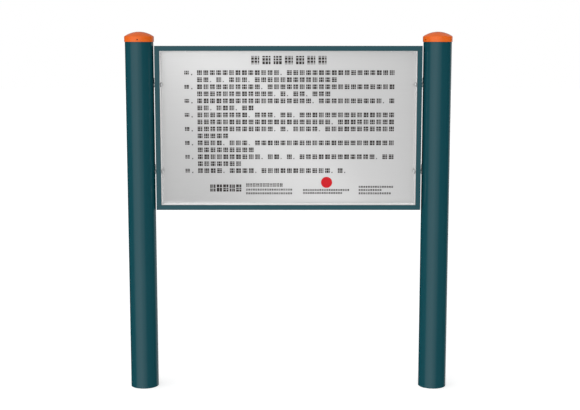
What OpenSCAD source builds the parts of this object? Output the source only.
// Notice board on two round posts, in millimetres, +Z up.
// The origin is on the ground midway between the posts and the front faces -Y.

/* [Posts] */
// Outside diameter of a post
post_od = 114; // [90:1:140]
// Wall of a post
post_wall = 3; // [2:0.5:5]
// Height of a post from the ground to its top edge
post_h = 1446; // [1200:1:2000]

/* [Board] */
// Width of the board over its frame
board_w = 1078; // [700:1:1400]
// Height of the board over its frame
board_h = 665; // [450:1:900]
// Distance from the top edge of a post down to the top of the board
board_drop = 36; // [30:1:200]
// Slit between the side of the board and a post
post_gap = 5.5; // [4:0.5:12]

/* [Frame tube] */
// Width of the face of the frame, seen from the front
frame_face = 20; // [16:1:30]
// Depth of the frame from front to back
frame_depth = 50; // [40:1:60]
// Wall of the frame tube
frame_wall = 1.5; // [1:0.25:2]
// Outside corner radius of the frame tube
frame_corner_r = 1.8; // [1.6:0.1:4]

/* [Front panel] */
// Thickness of the folded sheet
tray_t = 1.5; // [1:0.25:2]
// Inside radius of its bends
tray_bend_r = 1.5; // [1:0.25:3]
// Clearance between a flange and the frame
tray_gap = 0.2; // [0.1:0.05:0.5]
// Distance of the front edge of a flange behind the front of the frame
tray_setback = 4; // [2:0.5:10]
// Seam between two flanges at a corner
tray_seam = 0.3; // [0.2:0.1:1]

/* [Rear panel] */
// Thickness of the rear sheet
rear_t = 1.5; // [1:0.25:2]
// Rim of the frame that shows round the rear sheet
rear_margin = 3; // [1:0.5:3.5]
// Corner radius of the rear sheet
rear_corner_r = 8; // [4:1:12]

/* [Post caps] */
// Clearance between the skirt of a cap and its post
cap_fit = 0.25; // [0.1:0.05:0.5]
// Wall of a cap
cap_wall = 2.25; // [2:0.25:3.5]
// Length of the skirt below the top edge of the post
cap_skirt = 20; // [17:1:28]
// Height from the top edge of the post to the edge of the dome
cap_shoulder = 1.5; // [1:0.5:6]
// Rise of the dome
cap_rise = 19; // [10:1:35]
// Radius that rounds the edge of the dome
cap_round = 2; // [0.5:0.25:4]
// Width of the ledge that rests on the top edge of the post
cap_ledge = 4; // [2:0.5:8]
// Ribs under the dome
cap_ribs = 6; // [3:1:8]
// Thickness of a rib
cap_rib_t = 2; // [1:0.5:3]

/* [Cap screws] */
// Set screws in each cap
cap_screws = 3; // [2:1:6]
// Diameter of a set screw
cap_screw_d = 5; // [4:0.5:6]
// Distance of the set screws below the top edge of the post
cap_screw_drop = 11.5; // [6:0.5:13]
// Depth of a set screw below the surface of the skirt
cap_screw_sink = 0.3; // [0.1:0.1:1]
// Hexagon socket of a set screw, across the flats
cap_screw_key = 2.5; // [2:0.5:3]
// Turn of the first screw of the left cap from the front
left_cap_turn = 0; // [0:5:115]
// Turn of the first screw of the right cap from the front
right_cap_turn = 60; // [0:5:115]

/* [Board bolts] */
// Distance of a bolt from the top or the bottom of the board
bolt_inset = 156; // [60:1:200]
// Diameter of a bolt
bolt_d = 8; // [6:1:10]
// Diameter of the domed head
bolt_head_d = 14; // [13:0.5:16]
// Height of the domed head
bolt_head_h = 4.4; // [3.5:0.1:6]
// Straight rim below the dome of the head
bolt_head_rim = 0.8; // [0.4:0.1:1.5]
// Hexagon socket of the head, across the flats
bolt_key = 5; // [4:0.5:6]
// Length of thread inside the boss
bolt_engage = 6.3; // [5:0.1:7]
// Clearance of a bolt in the frame and in the tray
bolt_clear = 0.5; // [0.3:0.1:1]
// Clearance between the thread of a screw and its hole
thread_fit = 0.05; // [0.02:0.01:0.1]
// Diameter of the washer under a head
washer_d = 16; // [15:0.5:20]
// Thickness of the washer
washer_t = 2; // [1:0.25:3]
// Clearance of the bolt in the washer
washer_fit = 0.2; // [0.1:0.05:0.4]

/* [Lugs] */
// Thickness of the pad on the post
pad_t = 1.5; // [1:0.5:2.5]
// Height of the pad
pad_h = 36; // [30:1:60]
// Width of the pad
pad_w = 30; // [24:1:40]
// Distance from the bolt down to the lower end of the pad
pad_low = 9; // [8.5:0.5:14]
// Corner radius of the pad
pad_corner_r = 4; // [2:0.5:8]
// Diameter of the boss between the pad and the frame
boss_d = 16; // [14:0.5:18]
// Diameter of its stem in the wall of the post
stem_d = 12; // [11.5:0.5:13]
// Clearance of the stem in the pad and in the post
stem_fit = 0.05; // [0.02:0.01:0.1]

/* [Rivets] */
// Diameter of a blind rivet
rivet_d = 4; // [3:0.2:5]
// Diameter of its head
rivet_head_d = 8; // [7:0.5:9]
// Height of its head
rivet_head_h = 1.4; // [1:0.1:2]
// Clearance of a rivet in its hole
rivet_clear = 0.05; // [0.02:0.01:0.1]
// Diameter of the upset end behind the wall
rivet_tail_d = 5.6; // [5.4:0.1:7]
// Length of the upset end
rivet_tail_h = 3; // [2:0.5:5]
// Diameter of the mandrel hole in the head
rivet_mandrel_d = 2.2; // [1.6:0.2:2.6]
// Distance of a tray rivet from the side of the board
tray_rivet_inset = 124; // [60:1:300]
// Distance of a tray rivet behind the front edge of its flange
tray_rivet_back = 12; // [6:1:20]
// Rivets along the top and along the bottom of the rear sheet
rear_rivets_long = 5; // [3:1:8]
// Rivets between them on each side
rear_rivets_short = 2; // [1:1:4]
// Distance of the first rear rivet from the side of the board
rear_rivet_end = 50; // [35:1:80]

/* [Hidden] */
$fn = 96;

// Sides of the object and the two heights of its lugs
LEFT = -1;
RIGHT = 1;
LOWER = 0;
UPPER = 1;

// Finishes
TEAL = [0.11, 0.30, 0.34];
ORANGE = [0.88, 0.40, 0.15];
SATIN = [0.82, 0.82, 0.82];
ZINC = [0.68, 0.69, 0.70];
BLACK = [0.13, 0.13, 0.13];

// Cuts run this far past the faces that they open
past = 1;

post_r = post_od / 2;
post_bore_r = post_r - post_wall;
post_x = board_w / 2 + post_gap + post_r;

board_top = post_h - board_drop;
board_bottom = board_top - board_h;
board_mid = (board_top + board_bottom) / 2;
frame_front = -frame_depth / 2;
frame_back = frame_depth / 2;

tray_w = board_w - 2 * (frame_face + tray_gap);
tray_h = board_h - 2 * (frame_face + tray_gap);
tray_front = frame_front + tray_setback;
tray_bend_out = tray_bend_r + tray_t;

bolt_hole_r = bolt_d / 2 + bolt_clear;
tapped_r = bolt_d / 2 + thread_fit;
bolt_seat = frame_face + tray_gap + tray_t + washer_t;
stem_hole_r = stem_d / 2 + stem_fit;

rivet_hole_r = rivet_d / 2 + rivet_clear;
tray_rivet_grip = tray_t + tray_gap + frame_wall;
rear_rivet_grip = rear_t + frame_wall;

cap_r = post_r + cap_fit + cap_wall;
cap_hollow_r = post_r - cap_ledge;
cap_screw_z = post_h - cap_screw_drop;

function lug_z(level) =
    level == UPPER ? board_top - bolt_inset : board_bottom + bolt_inset;

function cap_turn(side) = side == LEFT ? left_cap_turn : right_cap_turn;

// Radius of a ball whose cap has the given base radius and rise
function ball_r(base_r, rise) = (base_r * base_r + rise * rise) / (2 * rise);

// Points on an arc of n steps, from angle a to angle b
function arc(centre, r, a, b, n) =
    [for (i = [0:n]) let (t = a + (b - a) * i / n) centre + r * [cos(t), sin(t)]];

// A rectangle with rounded corners, centred
module rounded_rect(w, h, r) {
    square([w - 2 * r, h], center = true);
    square([w, h - 2 * r], center = true);
    for (x = [-1, 1], y = [-1, 1])
        translate([x * (w / 2 - r), y * (h / 2 - r)]) circle(r);
}

// A low dome on a straight rim, standing on the plane z = 0
module dome(r, h, rim) {
    ball = ball_r(r, h - rim);
    intersection() {
        cylinder(r = r, h = h);
        translate([0, 0, h - ball]) sphere(ball);
    }
}

// A hexagon socket of the given size across the flats, sunk below z = 0
module socket(key, depth) {
    translate([0, 0, -depth]) cylinder(d = key / cos(30), h = depth + past, $fn = 6);
}

module on_post(side) {
    translate([side * post_x, 0, 0]) children();
}

// Children stand on the side face of the board and point at the post
module at_lug(side, level) {
    translate([side * board_w / 2, 0, lug_z(level)]) rotate([0, side * 90, 0]) children();
}

// Children point straight out of a post, one at each set screw
module at_cap_screws(side) {
    on_post(side)
        for (k = [0:cap_screws - 1])
            rotate([0, 0, cap_turn(side) + k * 360 / cap_screws])
                translate([0, 0, cap_screw_z]) rotate([90, 0, 0]) children();
}

// Children stand on the inner face of a flange, at each tray rivet, and point into the recess
module at_tray_rivets() {
    for (x = [-1, 1], up = [0, 1])
        translate([x * (board_w / 2 - tray_rivet_inset), tray_front + tray_rivet_back, board_mid])
            rotate([up * 180, 0, 0]) translate([0, 0, tray_t - tray_h / 2]) children();
}

// Children stand on the rear sheet, at each of its rivets, and point back
module at_rear_rivets() {
    run = board_w / 2 - rear_rivet_end;
    rows = board_h / 2 - frame_face / 2;
    sides = board_w / 2 - frame_face / 2;
    translate([0, frame_back + rear_t, board_mid]) rotate([-90, 0, 0]) {
        for (i = [0:rear_rivets_long - 1], z = [-1, 1])
            translate([-run + i * 2 * run / (rear_rivets_long - 1), z * rows, 0]) children();
        for (j = [1:rear_rivets_short], x = [-1, 1])
            translate([x * sides, (j / (rear_rivets_short + 1) - 0.5) * board_h, 0]) children();
    }
}

// Round tube, cut square at the foot, with holes for the stems and the set screws
module post(side) {
    color(TEAL)
        difference() {
            on_post(side) cylinder(r = post_r, h = post_h);
            on_post(side) translate([0, 0, -past]) cylinder(r = post_bore_r, h = post_h + 2 * past);
            for (level = [LOWER, UPPER])
                at_lug(side, level) cylinder(r = stem_hole_r, h = post_gap + post_r);
            at_cap_screws(side) cylinder(d = cap_screw_d + 2 * thread_fit, h = post_r + past);
        }
}

// Outline of the cap from its rounded edge to its top, drawn in by an inset
function cap_dome(inset) =
    let (
        ball = ball_r(cap_r, cap_rise),
        centre_z = cap_shoulder + cap_rise - ball,
        edge = max(cap_round - inset, 0.25),
        edge_r = cap_r - inset - edge,
        edge_z = centre_z + sqrt(pow(ball - inset - edge, 2) - pow(edge_r, 2)),
        meet = atan2(edge_z - centre_z, edge_r)
    )
    concat(
        arc([edge_r, edge_z], edge, 0, meet, 5),
        arc([0, centre_z], ball - inset, meet + (90 - meet) / 12, 90, 11)
    );

// Solid under the outline of the cap, down to the given depth
module cap_body(inset, depth) {
    rotate_extrude()
        polygon(concat([[0, -depth], [cap_r - inset, -depth]], cap_dome(inset)));
}

// Domed cap whose skirt covers the top of the post and whose ledge rests on its edge
module cap(side) {
    color(ORANGE)
        difference() {
            on_post(side) translate([0, 0, post_h]) {
                difference() {
                    cap_body(0, cap_skirt);
                    translate([0, 0, -cap_skirt - past])
                        cylinder(r = post_r + cap_fit, h = cap_skirt + past);
                    intersection() {
                        cap_body(cap_wall, past);
                        translate([0, 0, -past]) cylinder(r = cap_hollow_r, h = cap_rise + cap_shoulder);
                    }
                }
                cap_rib_star();
            }
            at_cap_screws(side) cylinder(d = cap_screw_d + 2 * thread_fit, h = cap_r + past);
        }
}

// Ribs from the axis to the ledge, under the dome
module cap_rib_star() {
    intersection() {
        cap_body(cap_wall / 2, 0);
        for (k = [0:cap_ribs - 1])
            rotate([0, 0, k * 360 / cap_ribs])
                translate([0, -cap_rib_t / 2, 0])
                    cube([cap_hollow_r + cap_ledge / 2, cap_rib_t, cap_rise + cap_shoulder]);
    }
}

// Set screws that hold a cap, each with its end inside the wall of the post
module cap_screw_set(side) {
    inner = post_bore_r + cap_screw_sink;
    outer = cap_r - cap_screw_sink;
    color(BLACK)
        at_cap_screws(side)
            difference() {
                translate([0, 0, inner]) cylinder(d = cap_screw_d, h = outer - inner);
                translate([0, 0, outer]) socket(cap_screw_key, (outer - inner) / 2);
            }
}

// Outline of a mitred bar, seen from the front: its outer edge at z = 0 and its mitres at 45 degrees
module mitre(length) {
    rotate([90, 0, 0])
        linear_extrude(frame_depth + 2 * past, center = true)
            polygon([
                [-length / 2, 0], [length / 2, 0],
                [length / 2 - frame_face, -frame_face], [-length / 2 + frame_face, -frame_face]
            ]);
}

// A bar of the frame with its outer edge up at z = 0
module bar(length) {
    intersection() {
        translate([0, 0, -frame_face / 2]) rotate([90, 0, 90])
            linear_extrude(length, center = true)
                difference() {
                    rounded_rect(frame_depth, frame_face, frame_corner_r);
                    rounded_rect(frame_depth - 2 * frame_wall, frame_face - 2 * frame_wall,
                        max(frame_corner_r - frame_wall, frame_wall / 5));
                }
        mitre(length);
    }
}

module rail(up) {
    color(TEAL)
        difference() {
            translate([0, 0, board_mid]) rotate([0, up ? 0 : 180, 0])
                translate([0, 0, board_h / 2]) bar(board_w);
            at_tray_rivets() translate([0, 0, -tray_rivet_grip - past])
                cylinder(r = rivet_hole_r, h = tray_rivet_grip + past);
            at_rear_rivets() translate([0, 0, -rear_rivet_grip - past])
                cylinder(r = rivet_hole_r, h = rear_rivet_grip + past);
        }
}

module stile(side) {
    color(TEAL)
        difference() {
            translate([0, 0, board_mid]) rotate([0, side * 90, 0])
                translate([0, 0, board_w / 2]) bar(board_h);
            for (level = [LOWER, UPPER])
                at_lug(side, level) translate([0, 0, -frame_face - past])
                    cylinder(r = bolt_hole_r, h = frame_face + 2 * past);
            at_rear_rivets() translate([0, 0, -rear_rivet_grip - past])
                cylinder(r = rivet_hole_r, h = rear_rivet_grip + past);
        }
}

// One flange of the tray with its bend, on the +Z side of a tray of the given height
module tray_side(height, bend_len, flange_len) {
    translate([-flange_len / 2, tray_front, height / 2 - tray_t])
        cube([flange_len, frame_back - tray_bend_out - tray_front, tray_t]);
    translate([0, frame_back - tray_bend_out, height / 2 - tray_bend_out])
        intersection() {
            rotate([0, 90, 0])
                difference() {
                    cylinder(r = tray_bend_out, h = bend_len, center = true);
                    cylinder(r = tray_bend_r, h = bend_len + 2 * past, center = true);
                }
            translate([-bend_len / 2, 0, 0]) cube([bend_len, tray_bend_out, tray_bend_out]);
        }
}

// Folded sheet: its face lies at the back of the frame and four flanges line the frame
module front_panel() {
    flat_w = tray_w - 2 * tray_bend_out;
    flat_h = tray_h - 2 * tray_bend_out;
    color(SATIN)
        difference() {
            translate([0, 0, board_mid]) {
                translate([-flat_w / 2, frame_back - tray_t, -flat_h / 2]) cube([flat_w, tray_t, flat_h]);
                for (turn = [0, 180])
                    rotate([0, turn, 0]) tray_side(tray_h, flat_w, tray_w);
                for (turn = [90, 270])
                    rotate([0, turn, 0]) tray_side(tray_w, flat_h, tray_h - 2 * (tray_t + tray_seam));
            }
            for (side = [LEFT, RIGHT], level = [LOWER, UPPER])
                at_lug(side, level) translate([0, 0, -bolt_seat - past])
                    cylinder(r = bolt_hole_r, h = bolt_seat + past);
            at_tray_rivets() translate([0, 0, -tray_rivet_grip])
                cylinder(r = rivet_hole_r, h = tray_rivet_grip + past);
        }
}

// Flat sheet on the back of the frame
module rear_panel() {
    color(SATIN)
        difference() {
            translate([0, frame_back + rear_t, board_mid]) rotate([90, 0, 0])
                linear_extrude(rear_t)
                    rounded_rect(board_w - 2 * rear_margin, board_h - 2 * rear_margin, rear_corner_r);
            at_rear_rivets() translate([0, 0, -rear_rivet_grip])
                cylinder(r = rivet_hole_r, h = rear_rivet_grip + past);
        }
}

// Blind rivet with its head on z = 0 and its upset end behind the given grip
module rivet(grip) {
    rim = rivet_head_h / 4;
    difference() {
        union() {
            dome(rivet_head_d / 2, rivet_head_h, rim);
            translate([0, 0, -grip]) cylinder(d = rivet_d, h = grip + rim);
            translate([0, 0, -grip - rivet_tail_h]) cylinder(d = rivet_tail_d, h = rivet_tail_h);
        }
        translate([0, 0, rim]) cylinder(d = rivet_mandrel_d, h = rivet_head_h);
    }
}

module front_panel_rivets() {
    color(ZINC) at_tray_rivets() rivet(tray_rivet_grip);
}

module rear_panel_rivets() {
    color(ZINC) at_rear_rivets() rivet(rear_rivet_grip);
}

// Curved pad that lies on the post behind a boss
module lug_pad(side, level) {
    low = lug_z(level) - pad_low;
    color(TEAL)
        difference() {
            intersection() {
                on_post(side) translate([0, 0, low]) cylinder(r = post_r + pad_t, h = pad_h);
                on_post(side) translate([0, 0, low + pad_h / 2]) rotate([0, -side * 90, 0])
                    linear_extrude(post_r + pad_t + past) rounded_rect(pad_h, pad_w, pad_corner_r);
            }
            on_post(side) translate([0, 0, low - past]) cylinder(r = post_r, h = pad_h + 2 * past);
            at_lug(side, level) cylinder(r = stem_hole_r, h = post_gap + post_r);
        }
}

// Tapped boss that spans the slit, saddled on the pad, its stem pressed through the wall of the post
module boss(side, level) {
    reach = post_gap + post_wall + post_r / 2;
    color(ZINC)
        difference() {
            union() {
                difference() {
                    at_lug(side, level) cylinder(d = boss_d, h = reach);
                    on_post(side) cylinder(r = post_r + pad_t, h = post_h);
                }
                difference() {
                    at_lug(side, level) cylinder(d = stem_d, h = reach);
                    on_post(side) cylinder(r = post_bore_r, h = post_h);
                }
            }
            at_lug(side, level) translate([0, 0, -past]) cylinder(r = tapped_r, h = reach + 2 * past);
        }
}

// Domed bolt whose head lies inside the recess and whose thread ends in the boss
module bolt(side, level) {
    color(ZINC)
        at_lug(side, level) {
            translate([0, 0, -bolt_seat]) cylinder(d = bolt_d, h = bolt_seat + bolt_engage);
            translate([0, 0, -bolt_seat]) rotate([180, 0, 0])
                difference() {
                    dome(bolt_head_d / 2, bolt_head_h, bolt_head_rim);
                    translate([0, 0, bolt_head_h]) socket(bolt_key, bolt_head_h * 0.6);
                }
        }
}

module washer(side, level) {
    color(BLACK)
        at_lug(side, level) translate([0, 0, -bolt_seat])
            difference() {
                cylinder(d = washer_d, h = washer_t);
                translate([0, 0, -past]) cylinder(d = bolt_d + 2 * washer_fit, h = washer_t + 2 * past);
            }
}

post(LEFT);  // left_post
post(RIGHT);  // right_post
cap(LEFT);  // left_cap
cap(RIGHT);  // right_cap
cap_screw_set(LEFT);  // left_cap_screws
cap_screw_set(RIGHT);  // right_cap_screws
rail(true);  // frame_top_rail
rail(false);  // frame_bottom_rail
stile(LEFT);  // frame_left_stile
stile(RIGHT);  // frame_right_stile
front_panel();
front_panel_rivets();
rear_panel();
rear_panel_rivets();
lug_pad(LEFT, UPPER);  // upper_left_lug_pad
lug_pad(LEFT, LOWER);  // lower_left_lug_pad
lug_pad(RIGHT, UPPER);  // upper_right_lug_pad
lug_pad(RIGHT, LOWER);  // lower_right_lug_pad
boss(LEFT, UPPER);  // upper_left_boss
boss(LEFT, LOWER);  // lower_left_boss
boss(RIGHT, UPPER);  // upper_right_boss
boss(RIGHT, LOWER);  // lower_right_boss
bolt(LEFT, UPPER);  // upper_left_bolt
bolt(LEFT, LOWER);  // lower_left_bolt
bolt(RIGHT, UPPER);  // upper_right_bolt
bolt(RIGHT, LOWER);  // lower_right_bolt
washer(LEFT, UPPER);  // upper_left_washer
washer(LEFT, LOWER);  // lower_left_washer
washer(RIGHT, UPPER);  // upper_right_washer
washer(RIGHT, LOWER);  // lower_right_washer
